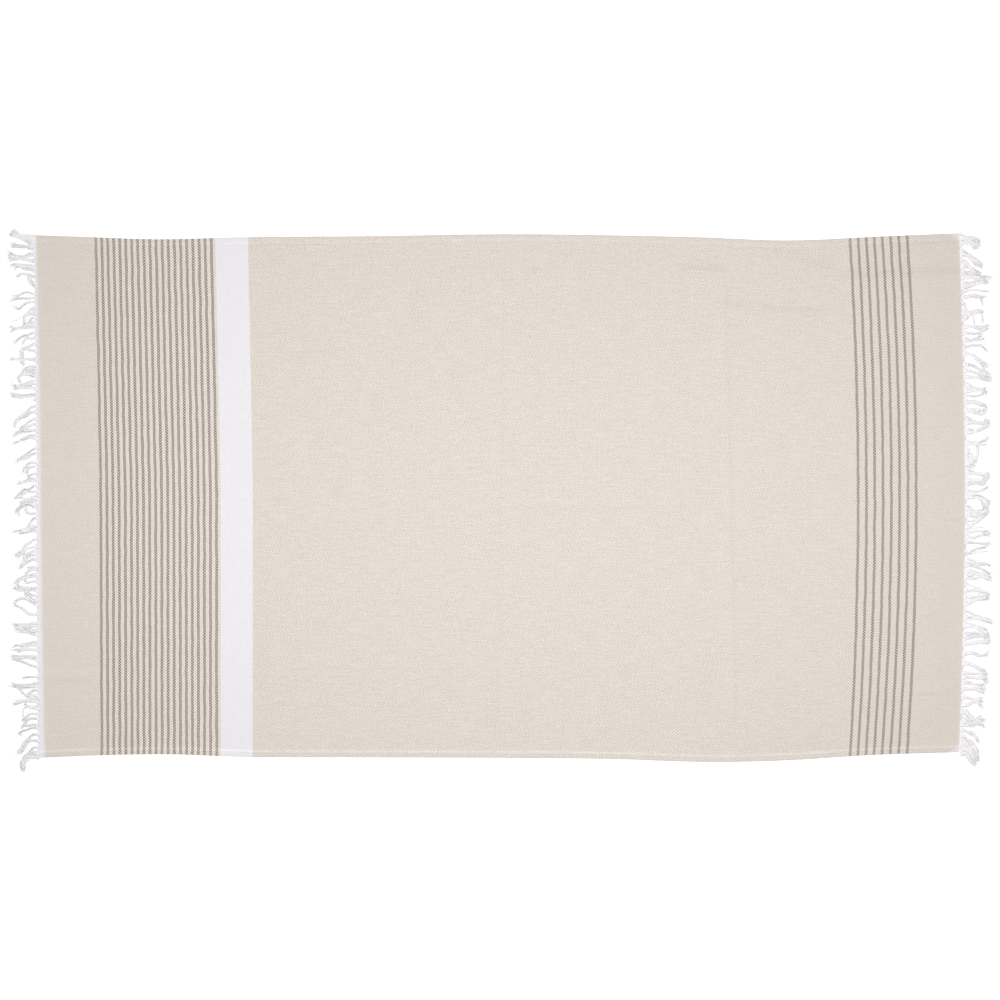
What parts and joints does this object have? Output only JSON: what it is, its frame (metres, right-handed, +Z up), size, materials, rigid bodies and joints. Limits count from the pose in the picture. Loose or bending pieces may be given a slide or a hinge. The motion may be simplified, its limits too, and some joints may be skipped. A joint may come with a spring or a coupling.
{
  "type": "beach towel",
  "caption": "Flat-woven cotton beach towel laid open, with woven stripes, a plain white band, hemmed long sides and a loose warp fringe at each end.",
  "frame": {"origin": "on the floor under the middle of the woven cloth", "axes": "+X along the towel, from the end with the white band to the end with the wide-set stripes; +Y across it; +Z up"},
  "size_m": [1.9112, 1.0469, 0.0037],
  "materials": {
    "woven_cotton": "matt beige diamond twill with dark taupe weft stripes and a plain white woven band",
    "fringe_yarn": "matt white cotton warp yarn, loosely gathered in bunches"
  },
  "bodies": {
    "root": {"cloth": "woven_cotton", "fringe_left": "fringe_yarn", "fringe_right": "fringe_yarn"}
  },
  "joints": []
}
